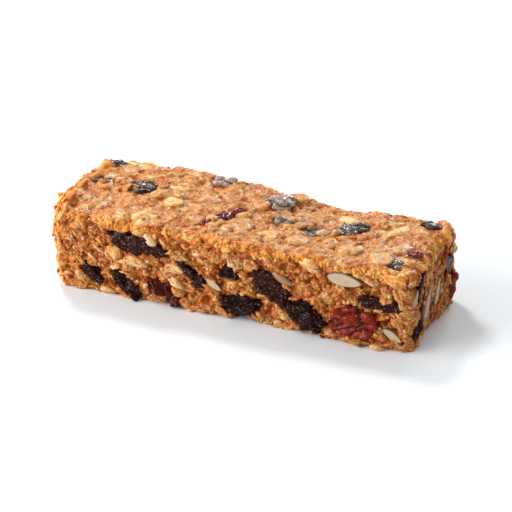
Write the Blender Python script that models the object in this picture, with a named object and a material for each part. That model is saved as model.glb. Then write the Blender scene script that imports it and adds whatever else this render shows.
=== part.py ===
# A granola bar: pressed oats with raisins, cranberries and sunflower kernels.
# Metres, +Z up. The origin is the middle of the flat underside. +X runs along the bar,
# and the long cut side that shows the most fruit faces -Y.
import math
import random

import bmesh
import bpy
from mathutils import Matrix, Vector, noise

MM = 0.001

# The bar
BAR_LENGTH = 100.0 * MM
BAR_WIDTH = 31.7 * MM
BAR_HEIGHT = 22.2 * MM
CELLS = (24, 8, 5)  # faces along the length, the width and the height
TOP_ROUNDING = 2.3 * MM
BASE_ROUNDING = 1.4 * MM
CORNER_ROUNDING = 2.6 * MM
HEAVE = 0.5 * MM  # slow rise and fall of every side
HEAVE_SPACING = 15.0 * MM
HEAVE_SEED = (3.1, 0.4, 7.7)
LUMP = 0.8 * MM  # crags between the flakes
LUMP_SPACING = 5.0 * MM
LUMP_SEED = (9.2, 5.5, 1.3)
BASE_DENT = 0.4 * MM  # depth of the shallow hollows in the pressed underside
LEAST_DENT = 0.12 * MM  # hollows shallower than this stay flat
# Where the bar strays from a straight block, as (place, how far) in mm: the height of the
# top's far edge and the bulge of the near side's foot along the bar, and the bulge of each
# end across it
FAR_EDGE = [(-50, 1.0), (-40, 2.7), (-24, 2.8), (-6, 2.6), (6, 0.6), (16, -0.8), (30, 0.6), (50, 1.2)]
NEAR_FOOT = [(-50, 0.0), (18, 0.0), (34, 1.4), (44, 1.2), (50, -0.4)]
LEFT_END = [(-16, 0.2), (-8, 2.4), (0, 2.0), (8, 0.8), (16, 0.2)]
RIGHT_END = [(-16, 0.0), (0, 0.0), (10, 1.2), (16, 1.5)]
FOOT_TAPER = 0.7  # the left end's bulge is less by this share at its foot

# Oat flakes and sunflower kernels, which are one with the bar
FLAKE_SIZE = (7.0 * MM, 5.2 * MM, 1.3 * MM)
FLAKE_SEGMENTS = (8, 3)
FLAKE_SPREAD = 0.22  # flakes vary by this share of their size
FLAKE_CURL = 0.15  # a flake's ends rise by this share of its thickness
KERNEL_SIZE = (9.8 * MM, 4.4 * MM, 2.6 * MM)
KERNEL_SEGMENTS = (8, 4)
KERNEL_TAPER = 0.4  # a kernel's pointed end is narrower by this share
KERNEL_PROUD = 0.35 * MM

# Fruit, each piece a solid of its own in a pocket of the bar
FRUIT_GAP = 0.3 * MM
POCKET_RISE = 4.0 * MM  # a pocket is open this far out of the face, clear of any flake
FLOOR_CLEARANCE = 0.1 * MM  # fruit at the base ends this far above it
BASE_WALL = 0.9 * MM  # a pocket nearer to the base than this is cut through it
LARGE_FRUIT = 8.6 * MM
LARGE_SEGMENTS = (10, 7)
SMALL_SEGMENTS = (8, 5)
WRINKLE = {"raisin": 0.34, "cranberry": 0.26}  # as a share of the radius
WRINKLE_SPACING = 0.21  # as a share of the fruit's own size
WRINKLE_SEED = (1.7, 0.3, 4.1)
CUT_PROUD = 0.2 * MM  # a sliced fruit stands this far out of the cut side

# Each face of the bar: the middle of its lower edge (or the middle of a level face),
# its own two directions, and its outward normal.
FACES = {
    "front": {"origin": (0, -BAR_WIDTH / 2, 0), "u": (1, 0, 0), "v": (0, 0, 1), "out": (0, -1, 0)},
    "back": {"origin": (0, BAR_WIDTH / 2, 0), "u": (-1, 0, 0), "v": (0, 0, 1), "out": (0, 1, 0)},
    "right": {"origin": (BAR_LENGTH / 2, 0, 0), "u": (0, 1, 0), "v": (0, 0, 1), "out": (1, 0, 0)},
    "left": {"origin": (-BAR_LENGTH / 2, 0, 0), "u": (0, -1, 0), "v": (0, 0, 1), "out": (-1, 0, 0)},
    "top": {"origin": (0, 0, BAR_HEIGHT), "u": (1, 0, 0), "v": (0, 1, 0), "out": (0, 0, 1)},
    "base": {"origin": (0, 0, 0), "u": (1, 0, 0), "v": (0, -1, 0), "out": (0, 0, -1)},
}

# The fruit: kind, face, place on the face in mm, length, breadth and depth in mm, turn in
# degrees from the face's first direction, and how far it stands out in mm (None is sliced).
FRUIT = [
    ("raisin", "front", (-27.0, 16.4), (16.8, 4.8, 7.0), -9, None),
    ("raisin", "front", (-40.0, 6.0), (8.6, 2.8, 5.0), -42, None),
    ("raisin", "front", (-30.0, 4.4), (10.4, 3.8, 6.0), -46, 0.5),
    ("cranberry", "front", (-18.2, 4.0), (11.2, 4.6, 6.0), -20, 0.6),
    ("raisin", "front", (-10.6, 10.9), (10.6, 2.2, 5.0), -33, None),
    ("raisin", "front", (-0.3, 13.6), (5.4, 3.8, 5.0), -18, 0.3),
    ("raisin", "front", (10.8, 12.0), (11.6, 6.6, 8.0), -34, None),
    ("raisin", "front", (2.8, 4.6), (10.8, 6.2, 7.0), 6, 0.9),
    ("raisin", "front", (21.0, 5.2), (11.0, 7.4, 7.0), -36, 1.2),
    ("cranberry", "front", (34.0, 6.2), (12.4, 10.2, 7.0), 10, 1.3),
    ("raisin", "front", (42.0, 12.6), (12.4, 3.2, 5.0), -5, None),
    ("raisin", "right", (9.6, 13.6), (7.2, 4.8, 5.0), -52, None),
    ("cranberry", "right", (12.2, 6.0), (7.0, 4.4, 5.0), 62, 1.0),
    ("raisin", "right", (-9.8, 16.6), (8.4, 2.3, 3.6), 62, None),
    ("raisin", "right", (-11.4, 4.6), (6.0, 4.6, 5.0), 60, 0.5),
    ("raisin", "top", (-44.0, 12.0), (6.6, 4.2, 4.6), 0, 0.9),
    ("raisin", "top", (-33.4, 2.6), (10.0, 6.2, 5.0), 22, 0.5),
    ("cranberry", "top", (-7.0, -3.6), (12.2, 3.4, 4.6), 52, 0.5),
    ("raisin", "top", (3.4, 8.9), (9.4, 7.4, 5.4), 20, 0.7),
    ("raisin", "top", (17.4, 0.2), (6.8, 4.6, 4.6), -8, 0.4),
    ("raisin", "top", (26.6, 2.9), (9.6, 6.2, 6.0), 34, 1.2),
    ("raisin", "top", (-13.3, 12.2), (6.0, 4.4, 4.4), 12, 0.5),
    ("raisin", "top", (45.4, 11.2), (6.2, 3.8, 4.4), -12, 0.6),
    ("raisin", "top", (43.6, -10.4), (6.4, 4.6, 3.2), 9, 0.3),
    ("cranberry", "top", (46.2, -3.9), (4.8, 3.4, 3.4), -20, 0.7),
    ("raisin", "top", (-44.4, 3.6), (6.4, 4.2, 4.4), 10, 0.5),
    ("raisin", "top", (9.4, 0.4), (5.6, 2.6, 4.0), -8, 0.3),
    ("raisin", "left", (7.4, 13.8), (8.0, 4.6, 5.0), -24, 0.5),
    ("raisin", "left", (-2.0, 6.6), (9.4, 5.2, 5.4), 14, None),
    ("cranberry", "left", (-9.0, 14.6), (6.6, 5.0, 4.6), 40, 0.8),
]
# The back and the underside follow a rule: one piece to each cell of a grid, with a jitter
# inside the cell.
HIDDEN_FRUIT = {
    "back": {"columns": 6, "rows": 2, "jitter": 0.14, "margin": 4.0 * MM, "seed": 12},
    "base": {"columns": 4, "rows": 1, "jitter": 0.16, "margin": 6.0 * MM, "seed": 5},
}
HIDDEN_LENGTHS = (6.5 * MM, 11.0 * MM)
HIDDEN_BREADTHS = (0.42, 0.58)  # as a share of the length
HIDDEN_DEPTH = 4.6 * MM
HIDDEN_TURN = 40.0  # at most this many degrees off the face's first direction
BACK_PROUD = 0.4 * MM
CRANBERRY_SHARE = 0.28

# Flakes over each face: columns and rows of cells, how far they lean in degrees, and how far
# a flake's highest point stands out
FLAKE_GRIDS = {
    "top": {"columns": 9, "rows": 3, "lean": 7, "proud": 0.35 * MM, "seed": 21},
    "front": {"columns": 8, "rows": 2, "lean": 16, "proud": 0.6 * MM, "seed": 22},
    "back": {"columns": 8, "rows": 2, "lean": 16, "proud": 0.6 * MM, "seed": 29},
    "right": {"columns": 3, "rows": 2, "lean": 16, "proud": 0.6 * MM, "seed": 24},
    "left": {"columns": 3, "rows": 2, "lean": 16, "proud": 0.5 * MM, "seed": 26},
}
FLAKE_JITTER = 0.32
FLAKE_MARGIN = 1.5 * MM
CLEAR_OF_FRUIT = 3.2 * MM  # no flake of the rule lies nearer than this to a fruit's middle
# Flakes that show one by one: face, place in mm, length and breadth in mm, turn in degrees,
# and how far they stand out in mm
FLAKES = [
    ("top", (-37.0, 13.4), (8.6, 5.0), 1, 0.6),
    ("top", (-22.5, 5.9), (7.6, 4.6), 20, 0.4),
    ("top", (-21.6, -1.9), (5.8, 4.8), -13, 0.4),
    ("top", (-26.0, -10.4), (9.4, 4.8), 48, 0.5),
    ("top", (7.0, -7.6), (7.2, 5.0), 44, 0.5),
    ("top", (14.9, -6.8), (6.4, 5.2), -6, 0.4),
    ("top", (24.2, 8.8), (7.4, 4.2), -4, 0.6),
    ("top", (38.6, 7.6), (10.8, 5.4), 66, 0.5),
    ("top", (30.0, -7.4), (7.4, 5.4), 20, 0.7),
    ("top", (39.6, -10.4), (6.4, 5.6), -20, 0.6),
    ("front", (-34.7, 19.0), (5.4, 2.4), 25, 0.7),
    ("front", (-22.6, 18.9), (5.0, 2.4), -37, 0.6),
    ("front", (-26.6, 11.6), (6.4, 2.8), -8, 0.5),
    ("front", (-33.0, 13.2), (5.0, 3.4), -20, 0.5),
    ("front", (22.1, 20.0), (5.0, 3.2), -15, 0.8),
    ("front", (38.6, 3.2), (5.4, 2.4), -66, 1.1),
    ("front", (41.0, 0.9), (4.2, 2.6), 0, 1.4),
    ("front", (-35.2, 0.9), (4.2, 2.4), -8, 0.9),
    ("front", (45.4, 20.2), (6.0, 3.4), -14, 1.0),
    ("left", (9.2, 18.4), (6.4, 3.4), 52, 0.2),
    ("right", (13.6, 16.6), (3.0, 2.6), -40, 0.8),
]
# Sunflower kernels that show: face, place in mm, share of full size, turn in degrees
KERNELS = [
    ("front", (31.7, 17.9), 1.0, -3),
    ("front", (45.0, 4.6), 0.62, -30),
    ("front", (-4.4, 9.4), 0.52, -34),
    ("front", (-15.3, 7.6), 0.5, -30),
    ("front", (-16.0, 11.2), 0.6, -3),
    ("front", (15.4, 17.6), 0.66, -24),
    ("right", (-5.4, 9.4), 0.95, 61),
    ("right", (2.2, 9.4), 0.8, 64),
    ("right", (-14.2, 15.4), 0.5, 55),
    ("back", (-34.0, 11.6), 0.9, 12),
    ("back", (-9.0, 17.0), 0.8, -18),
    ("back", (18.0, 10.6), 0.9, 30),
    ("left", (1.6, 17.4), 0.7, 20),
]


# Hollows between the flakes that show: face, place, length, breadth and depth in mm
PITS = [
    ("top", (32.9, -10.4), (3.4, 2.4, 3.6)),
    ("front", (46.4, 19.0), (3.8, 1.6, 3.6)),
    ("front", (-12.6, 14.6), (3.2, 1.4, 3.0)),
    ("front", (26.4, 10.6), (3.4, 1.6, 3.0)),
    ("right", (4.0, 15.4), (3.0, 1.6, 3.0)),
]
PIT_SEGMENTS = (6, 4)


def empty_the_scene():
    for obj in list(bpy.data.objects):
        bpy.data.objects.remove(obj, do_unlink=True)


def new_collection(name):
    collection = bpy.data.collections.new(name)
    bpy.context.scene.collection.children.link(collection)
    return collection


def new_material(name, colour, roughness):
    material = bpy.data.materials.new(name)
    material.use_nodes = True
    shader = material.node_tree.nodes["Principled BSDF"]
    shader.inputs["Base Color"].default_value = (*colour, 1.0)
    shader.inputs["Roughness"].default_value = roughness
    shader.inputs["Metallic"].default_value = 0.0
    return material


def object_from(bm, name, collection, material=None):
    mesh = bpy.data.meshes.new(name)
    bm.to_mesh(mesh)
    bm.free()
    obj = bpy.data.objects.new(name, mesh)
    if material:
        mesh.materials.append(material)
    collection.objects.link(obj)
    return obj


# Places on the faces
def on_face(face, u, v, turn=0.0):
    # The pose of something at (u, v) on a face: its X along the turned first direction and
    # its Z along the outward normal
    frame = FACES[face]
    along, across, out = Vector(frame["u"]), Vector(frame["v"]), Vector(frame["out"])
    place = Vector(frame["origin"]) + u * along + v * across
    turned = along * math.cos(turn) + across * math.sin(turn)
    axes = Matrix((turned, out.cross(turned), out)).transposed()
    return Matrix.Translation(place + out * relief(place, out)) @ axes.to_4x4()


def grid_places(face, grid, jitter, margin):
    # One place in each cell of a grid over the face, moved at random inside the cell
    draw = random.Random(grid["seed"])
    along = BAR_WIDTH if face in ("right", "left") else BAR_LENGTH
    across = BAR_WIDTH if face in ("top", "base") else BAR_HEIGHT
    lowest = -across / 2 if face in ("top", "base") else 0.0
    for column in range(grid["columns"]):
        for row in range(grid["rows"]):
            u = (column + 0.5 + draw.uniform(-jitter, jitter)) / grid["columns"]
            v = (row + 0.5 + draw.uniform(-jitter, jitter)) / grid["rows"]
            place_u = margin - along / 2 + (along - 2 * margin) * u
            place_v = margin + lowest + (across - 2 * margin) * v
            yield place_u, place_v, draw


# The bar's own body
def on_curve(points, place):
    # The smooth curve through listed (place, how far) points in mm
    for (start, low), (end, high) in zip(points, points[1:]):
        if place <= end * MM:
            share = min(1.0, max(0.0, (place / MM - start) / (end - start)))
            share = share * share * (3.0 - 2.0 * share)
            return (low + (high - low) * share) * MM
    return points[-1][1] * MM


def relief(point, normal):
    # How far the surface rises or sinks at a point, from slow heaving to crags. The base is
    # pressed flat.
    heave = noise.noise(point / HEAVE_SPACING + Vector(HEAVE_SEED))
    lumps = noise.noise(point / LUMP_SPACING + Vector(LUMP_SEED))
    far = 0.5 + point.y / BAR_WIDTH
    low = max(0.0, 1.0 - 2.0 * point.z / BAR_HEIGHT)
    stray = max(0.0, normal.z) * far * on_curve(FAR_EDGE, point.x)
    stray += max(0.0, -normal.y) * low * on_curve(NEAR_FOOT, point.x)
    stray += max(0.0, -normal.x) * (1.0 - FOOT_TAPER * low) * on_curve(LEFT_END, point.y)
    stray += max(0.0, normal.x) * on_curve(RIGHT_END, point.y)
    return (HEAVE * heave + LUMP * lumps) * min(1.0, 1.0 + normal.z) + stray


def split_along(bm, axis, cuts):
    edges = []
    for edge in bm.edges:
        span = edge.verts[1].co - edge.verts[0].co
        if abs(span[axis]) > 0.5 * span.length:
            edges.append(edge)
    bmesh.ops.subdivide_edges(bm, edges=edges, cuts=cuts, use_grid_fill=True)


def crowded(point):
    # Moves a point of the even grid so that the outermost cells are as wide as the rounding
    for axis, side in enumerate((BAR_LENGTH, BAR_WIDTH, BAR_HEIGHT)):
        share = 2 * point[axis] / side
        inner = 1.0 - 2.0 / CELLS[axis]
        width = 1.0 - 2 * CORNER_ROUNDING / side
        if abs(share) <= inner + 1e-6:
            share *= width / inner
        point[axis] = share * side / 2
    return point


def rounded(point):
    # Moves a point of the plain box onto the box with rounded edges: most at the upright
    # corners, less along the top and least along the base. It also gives the normal there.
    level = TOP_ROUNDING if point.z > 0 else BASE_ROUNDING
    radii = Vector((CORNER_ROUNDING, CORNER_ROUNDING, level))
    half = Vector((BAR_LENGTH, BAR_WIDTH, BAR_HEIGHT)) / 2
    core = Vector(max(radii[i] - half[i], min(half[i] - radii[i], point[i])) for i in range(3))
    normal = Vector((point[i] - core[i]) / radii[i] for i in range(3)).normalized()
    return core + Vector(normal[i] * radii[i] for i in range(3)), normal


def bar_body(collection, material):
    bm = bmesh.new()
    bmesh.ops.create_cube(bm, size=1.0)
    bmesh.ops.scale(bm, verts=bm.verts, vec=(BAR_LENGTH, BAR_WIDTH, BAR_HEIGHT))
    for axis, cells in enumerate(CELLS):
        split_along(bm, axis, cells - 1)
    for vert in bm.verts:
        place, normal = rounded(crowded(vert.co))
        place.z += BAR_HEIGHT / 2
        place += normal * relief(place, normal)
        place.z = max(0.0, place.z)
        hollow = BASE_DENT * noise.noise(place / LUMP_SPACING)
        on_base = normal.z < -0.9
        if on_base:
            place.z = hollow if hollow > LEAST_DENT else 0.0
        vert.co = place
    return object_from(bm, "oat_bar", collection, material)


# What is fused to the bar
def settle(bm, pose, proud):
    # Puts a shape at a pose and lets its highest point stand out by this much
    out = pose.to_3x3().col[2].normalized()
    bm.transform(pose)
    highest = max((vert.co - pose.translation).dot(out) for vert in bm.verts)
    bmesh.ops.translate(bm, verts=bm.verts, vec=out * (proud - highest))


def oat_flake(name, collection, pose, size, leans, proud):
    bm = bmesh.new()
    columns, rings = FLAKE_SEGMENTS
    bmesh.ops.create_uvsphere(bm, u_segments=columns, v_segments=rings, radius=0.5)
    for vert in bm.verts:
        curl = FLAKE_CURL * size[2] * (2 * vert.co.x) ** 2
        vert.co = Vector(vert.co[i] * size[i] for i in range(3))
        vert.co.z += curl
    bm.transform(Matrix.Rotation(leans[0], 4, "X") @ Matrix.Rotation(leans[1], 4, "Y"))
    settle(bm, pose, proud)
    return object_from(bm, name, collection)


def sunflower_kernel(name, collection, pose, share):
    bm = bmesh.new()
    columns, rings = KERNEL_SEGMENTS
    bmesh.ops.create_uvsphere(bm, u_segments=columns, v_segments=rings, radius=0.5)
    bmesh.ops.rotate(bm, verts=bm.verts, matrix=Matrix.Rotation(math.pi / 2, 3, "Y"))
    for vert in bm.verts:
        vert.co.y *= 1.0 - KERNEL_TAPER * max(0.0, 2 * vert.co.x)
        vert.co = Vector(vert.co[i] * KERNEL_SIZE[i] * share for i in range(3))
    settle(bm, pose, KERNEL_PROUD)
    return object_from(bm, name, collection)


def fused_pieces(collection, fruit_places):
    for face, grid in FLAKE_GRIDS.items():
        lean = math.radians(grid["lean"])
        for u, v, draw in grid_places(face, grid, FLAKE_JITTER, FLAKE_MARGIN):
            scale = draw.uniform(1.0 - FLAKE_SPREAD, 1.0 + FLAKE_SPREAD)
            pose = on_face(face, u, v, draw.uniform(0.0, math.pi))
            leans = (draw.uniform(-lean, lean), draw.uniform(-lean, lean))
            if all((pose.translation - spot).length > CLEAR_OF_FRUIT for spot in fruit_places):
                size = [side * scale for side in FLAKE_SIZE]
                oat_flake(f"flake_{face}", collection, pose, size, leans, grid["proud"])
    for face, (u, v), (length, breadth), degrees, proud in FLAKES:
        pose = on_face(face, u * MM, v * MM, math.radians(degrees))
        size = (length * MM, breadth * MM, max(FLAKE_SIZE[2], 2 * proud * MM))
        oat_flake("flake", collection, pose, size, (0.0, 0.0), proud * MM)
    for face, (u, v), share, degrees in KERNELS:
        pose = on_face(face, u * MM, v * MM, math.radians(degrees))
        sunflower_kernel("kernel", collection, pose, share)


# The fruit
def fruit_list():
    # Every piece of fruit as its kind, its pose, its size and how far it stands out
    pieces = []
    for kind, face, (u, v), size, degrees, proud in FRUIT:
        pose = on_face(face, u * MM, v * MM, math.radians(degrees))
        sides = [side * MM for side in size]
        pieces.append((kind, pose, sides, None if proud is None else proud * MM))
    for face, grid in HIDDEN_FRUIT.items():
        for u, v, draw in grid_places(face, grid, grid["jitter"], grid["margin"]):
            kind = "cranberry" if draw.random() < CRANBERRY_SHARE else "raisin"
            length = draw.uniform(*HIDDEN_LENGTHS)
            pose = on_face(face, u, v, math.radians(draw.uniform(-HIDDEN_TURN, HIDDEN_TURN)))
            sides = [length, length * draw.uniform(*HIDDEN_BREADTHS), HIDDEN_DEPTH]
            pieces.append((kind, pose, sides, BACK_PROUD if face == "back" else None))
    return pieces


def fruit_ball(kind, sides, number):
    # A wrinkled ball of the fruit's own size, with its ends along X
    bm = bmesh.new()
    columns, rings = LARGE_SEGMENTS if sides[0] > LARGE_FRUIT else SMALL_SEGMENTS
    bmesh.ops.create_uvsphere(bm, u_segments=columns, v_segments=rings, radius=0.5)
    bmesh.ops.rotate(bm, verts=bm.verts, matrix=Matrix.Rotation(math.pi / 2, 3, "Y"))
    for vert in bm.verts:
        crease = noise.noise(vert.co / WRINKLE_SPACING + number * Vector(WRINKLE_SEED))
        swell = 1.0 + WRINKLE[kind] * crease
        vert.co = Vector(vert.co[i] * swell * sides[i] for i in range(3))
    return bm


def fruit_solid(piece, number):
    kind, pose, sides, proud = piece
    bm = fruit_ball(kind, sides, number)
    for vert in bm.verts:
        if vert.co.z > 0 and proud is None:
            vert.co.z = min(vert.co.z, CUT_PROUD)
        elif vert.co.z > 0:
            vert.co.z *= 2 * proud / sides[2]
    bm.transform(pose)
    for vert in bm.verts:
        vert.co.z = max(vert.co.z, FLOOR_CLEARANCE)
    return bm


def fruit_pocket(piece, number):
    # The room for a fruit: its lower half grown by the gap, with straight walls out of the
    # face. Close to the base it is cut through.
    kind, pose, sides, _ = piece
    ball = fruit_ball(kind, sides, number)
    grown = [1.0 + 2 * FRUIT_GAP / side for side in sides]
    bm = bmesh.new()
    for vert in ball.verts:
        low = Vector(vert.co[i] * grown[i] for i in range(3))
        low.z = min(0.0, low.z)
        for height in (low.z, POCKET_RISE):
            place = pose @ Vector((low.x, low.y, height))
            bm.verts.new(place)
            if place.z < BASE_WALL:
                bm.verts.new((place.x, place.y, -BASE_WALL))
    ball.free()
    hull = bmesh.ops.convex_hull(bm, input=bm.verts)
    inner = [item for item in hull["geom_interior"] if isinstance(item, bmesh.types.BMVert)]
    unused = [item for item in hull["geom_unused"] if isinstance(item, bmesh.types.BMVert)]
    bmesh.ops.delete(bm, geom=list(set(inner + unused)), context="VERTS")
    return bm


# Booleans
def pit_cutters(collection):
    columns, rings = PIT_SEGMENTS
    for face, (u, v), size in PITS:
        bm = bmesh.new()
        bmesh.ops.create_uvsphere(bm, u_segments=columns, v_segments=rings, radius=0.5)
        bmesh.ops.scale(bm, verts=bm.verts, vec=[side * MM for side in size])
        bm.transform(on_face(face, u * MM, v * MM))
        object_from(bm, "pit", collection)


def floor_block(collection):
    # What lies under the base plane, so that no flake reaches below it
    bm = bmesh.new()
    bmesh.ops.create_cube(bm, size=1.0)
    bmesh.ops.translate(bm, verts=bm.verts, vec=(0.0, 0.0, -0.5))
    bmesh.ops.scale(bm, verts=bm.verts, vec=(2 * BAR_LENGTH, 2 * BAR_WIDTH, BAR_HEIGHT))
    object_from(bm, "floor_block", collection)


def apply_boolean(obj, operation, collection):
    modifier = obj.modifiers.new(operation.title(), "BOOLEAN")
    modifier.operation = operation
    modifier.operand_type = "COLLECTION"
    modifier.collection = collection
    bpy.context.view_layer.update()
    graph = bpy.context.evaluated_depsgraph_get()
    result = bpy.data.meshes.new_from_object(obj.evaluated_get(graph))
    obj.modifiers.remove(modifier)
    obj.data = result
    for helper in list(collection.objects):
        bpy.data.objects.remove(helper, do_unlink=True)
    bpy.data.collections.remove(collection)


def keep_largest_piece(obj):
    # Drops the loose scraps that the cuts leave
    bm = bmesh.new()
    bm.from_mesh(obj.data)
    left = set(bm.faces)
    pieces = []
    while left:
        piece = [left.pop()]
        for face in piece:
            for edge in face.edges:
                for other in edge.link_faces:
                    if other in left:
                        left.remove(other)
                        piece.append(other)
        pieces.append(piece)
    largest = max(pieces, key=len)
    scraps = [face for piece in pieces if piece is not largest for face in piece]
    bmesh.ops.delete(bm, geom=scraps, context="FACES")
    bm.to_mesh(obj.data)
    bm.free()


def main():
    empty_the_scene()
    oats = new_material("oats", (0.56, 0.29, 0.11), 0.6)
    fruit_materials = {
        "raisin": new_material("raisin_skin", (0.035, 0.018, 0.018), 0.35),
        "cranberry": new_material("cranberry_skin", (0.22, 0.018, 0.014), 0.3),
    }
    parts = new_collection("granola_bar")
    fused = new_collection("flakes_and_kernels")
    pockets = new_collection("pockets")
    fruit = fruit_list()
    bar = bar_body(parts, oats)
    fused_pieces(fused, [pose.translation for _, pose, _, _ in fruit])
    counts = {"raisin": 0, "cranberry": 0}
    for number, piece in enumerate(fruit):
        kind = piece[0]
        counts[kind] += 1
        name = f"{kind}_{counts[kind]:02d}"
        object_from(fruit_solid(piece, number), name, parts, fruit_materials[kind])
        object_from(fruit_pocket(piece, number), f"pocket_{number}", pockets)
    pit_cutters(pockets)
    floor_block(pockets)
    apply_boolean(bar, "UNION", fused)
    apply_boolean(bar, "DIFFERENCE", pockets)
    keep_largest_piece(bar)


main()
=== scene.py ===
import math
import random

import bmesh
import bpy
import numpy as np
from mathutils import Matrix, Vector, noise
from mathutils.bvhtree import BVHTree


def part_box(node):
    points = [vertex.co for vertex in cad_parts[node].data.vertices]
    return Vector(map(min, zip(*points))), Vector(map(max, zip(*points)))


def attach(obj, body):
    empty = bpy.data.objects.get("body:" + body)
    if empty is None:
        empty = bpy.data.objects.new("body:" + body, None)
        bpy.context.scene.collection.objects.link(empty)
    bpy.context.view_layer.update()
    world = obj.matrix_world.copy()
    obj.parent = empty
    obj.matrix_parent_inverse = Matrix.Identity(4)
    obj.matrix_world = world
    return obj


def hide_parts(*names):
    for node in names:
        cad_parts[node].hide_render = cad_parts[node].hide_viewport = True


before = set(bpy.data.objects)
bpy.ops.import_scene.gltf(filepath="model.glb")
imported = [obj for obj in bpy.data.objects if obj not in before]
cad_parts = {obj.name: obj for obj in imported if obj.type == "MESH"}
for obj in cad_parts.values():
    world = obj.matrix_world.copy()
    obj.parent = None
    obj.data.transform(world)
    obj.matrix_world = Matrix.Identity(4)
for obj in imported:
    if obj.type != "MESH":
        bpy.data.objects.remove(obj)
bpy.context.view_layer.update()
mm = 0.001
body = "root"

# The pressed block, as the solids have it
block = {
    "length": 100.0 * mm,
    "width": 31.7 * mm,
    "height": 22.2 * mm,
    "topRounding": 2.3 * mm,
    "baseRounding": 1.4 * mm,
    "cornerRounding": 2.6 * mm,
    "heave": 0.5 * mm,  # slow rise and fall of every side
    "heaveSpacing": 15.0 * mm,
    "heaveSeed": (3.1, 0.4, 7.7),
    "lump": 0.8 * mm,
    "lumpSpacing": 5.0 * mm,
    "lumpSeed": (9.2, 5.5, 1.3),
    # where the bar strays from a straight block, as (place, how far) in mm
    "farEdge": [(-50, 1.0), (-40, 2.7), (-24, 2.8), (-6, 2.6), (6, 0.6), (16, -0.8), (30, 0.6), (50, 1.2)],
    "nearFoot": [(-50, 0.0), (18, 0.0), (34, 1.4), (44, 1.2), (50, -0.4)],
    "leftEnd": [(-16, 0.2), (-8, 2.4), (0, 2.0), (8, 0.8), (16, 0.2)],
    "rightEnd": [(-16, 0.0), (0, 0.0), (10, 1.2), (16, 1.5)],
    "footTaper": 0.7,
}
length, width, height = block["length"], block["width"], block["height"]
faces = {
    "front": {"origin": (0, -width / 2, 0), "along": (1, 0, 0), "across": (0, 0, 1), "out": (0, -1, 0)},
    "back": {"origin": (0, width / 2, 0), "along": (-1, 0, 0), "across": (0, 0, 1), "out": (0, 1, 0)},
    "right": {"origin": (length / 2, 0, 0), "along": (0, 1, 0), "across": (0, 0, 1), "out": (1, 0, 0)},
    "left": {"origin": (-length / 2, 0, 0), "along": (0, -1, 0), "across": (0, 0, 1), "out": (-1, 0, 0)},
    "top": {"origin": (0, 0, height), "along": (1, 0, 0), "across": (0, 1, 0), "out": (0, 0, 1)},
    "base": {"origin": (0, 0, 0), "along": (1, 0, 0), "across": (0, -1, 0), "out": (0, 0, -1)},
}


def smoothStep(low, high, value):
    share = min(1.0, max(0.0, (value - low) / (high - low)))
    return share * share * (3.0 - 2.0 * share)


def onCurve(points, place):
    # the smooth curve through listed (place, how far) points in mm
    for (start, low), (end, high) in zip(points, points[1:]):
        if place <= end * mm:
            return (low + (high - low) * smoothStep(start * mm, end * mm, place)) * mm
    return points[-1][1] * mm


def steadyNoise(point):
    # three noises in one vector, the same in every run, as noise_vector's aren't
    shifts = ((7.3, 0.0, 0.0), (0.0, 13.9, 0.0), (0.0, 0.0, 23.1))
    return Vector(noise.noise(point + Vector(shift)) for shift in shifts)


def blockRelief(point, normal):
    # how far the block's own surface rises or sinks at a point
    heave = noise.noise(point / block["heaveSpacing"] + Vector(block["heaveSeed"]))
    lumps = noise.noise(point / block["lumpSpacing"] + Vector(block["lumpSeed"]))
    far = 0.5 + point.y / width
    low = max(0.0, 1.0 - 2.0 * point.z / height)
    stray = max(0.0, normal.z) * far * onCurve(block["farEdge"], point.x)
    stray += max(0.0, -normal.y) * low * onCurve(block["nearFoot"], point.x)
    stray += max(0.0, -normal.x) * (1.0 - block["footTaper"] * low) * onCurve(block["leftEnd"], point.y)
    stray += max(0.0, normal.x) * onCurve(block["rightEnd"], point.y)
    return (block["heave"] * heave + block["lump"] * lumps) * min(1.0, 1.0 + normal.z) + stray


def roundedBlock(point):
    # moves a point of the plain box onto the box with rounded edges, and gives the normal there
    level = block["topRounding"] if point.z > 0 else block["baseRounding"]
    radii = Vector((block["cornerRounding"], block["cornerRounding"], level))
    half = Vector((length, width, height)) / 2
    core = Vector(max(radii[i] - half[i], min(half[i] - radii[i], point[i])) for i in range(3))
    normal = Vector((point[i] - core[i]) / radii[i] for i in range(3)).normalized()
    return core + Vector(normal[i] * radii[i] for i in range(3)) + Vector((0, 0, height / 2)), normal


def splitAlong(bm, axis, cuts):
    # cuts every edge that runs along one axis of the box
    edges = []
    for edge in bm.edges:
        span = edge.verts[1].co - edge.verts[0].co
        if abs(span[axis]) > 0.5 * span.length:
            edges.append(edge)
    bmesh.ops.subdivide_edges(bm, edges=edges, cuts=cuts, use_grid_fill=True)


def onFace(face, along, across, turn=0.0):
    # a pose on a face: X along its turned first direction, Z out of it
    first, second, out = (Vector(faces[face][name]) for name in ("along", "across", "out"))
    place = Vector(faces[face]["origin"]) + along * first + across * second
    turned = first * math.cos(turn) + second * math.sin(turn)
    axes = Matrix((turned, out.cross(turned), out)).transposed()
    return Matrix.Translation(place) @ axes.to_4x4()


def gridPlaces(face, columns, rows, draw):
    # one place in each cell of a grid over a face, at random inside its cell
    wide = width if face in ("right", "left") else length
    flat = face in ("top", "base")
    high = width if flat else height
    for column in range(columns):
        for row in range(rows):
            along = ((column + 0.5 + draw.uniform(-0.5, 0.5)) / columns - 0.5) * wide
            across = ((row + 0.5 + draw.uniform(-0.5, 0.5)) / rows - (0.5 if flat else 0.0)) * high
            yield along, across


# Where the oats are golden: toasted along the thin edges of the top, with a painted glow of light through
# them, and painted light on the left end
toastAndGlow = {
    "sideReach": 2.6 * mm,  # in from an upright side
    "topReach": 4.0 * mm,  # down from the top
    # the left end's gold is painted light, where the lamps fall on it: how far in, and how much
    "litEndReach": 5.0 * mm,
    "litEndShare": 0.6,
    "hollowShadePaling": 0.3,  # how much less painted shade a golden hollow gets
}


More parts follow.
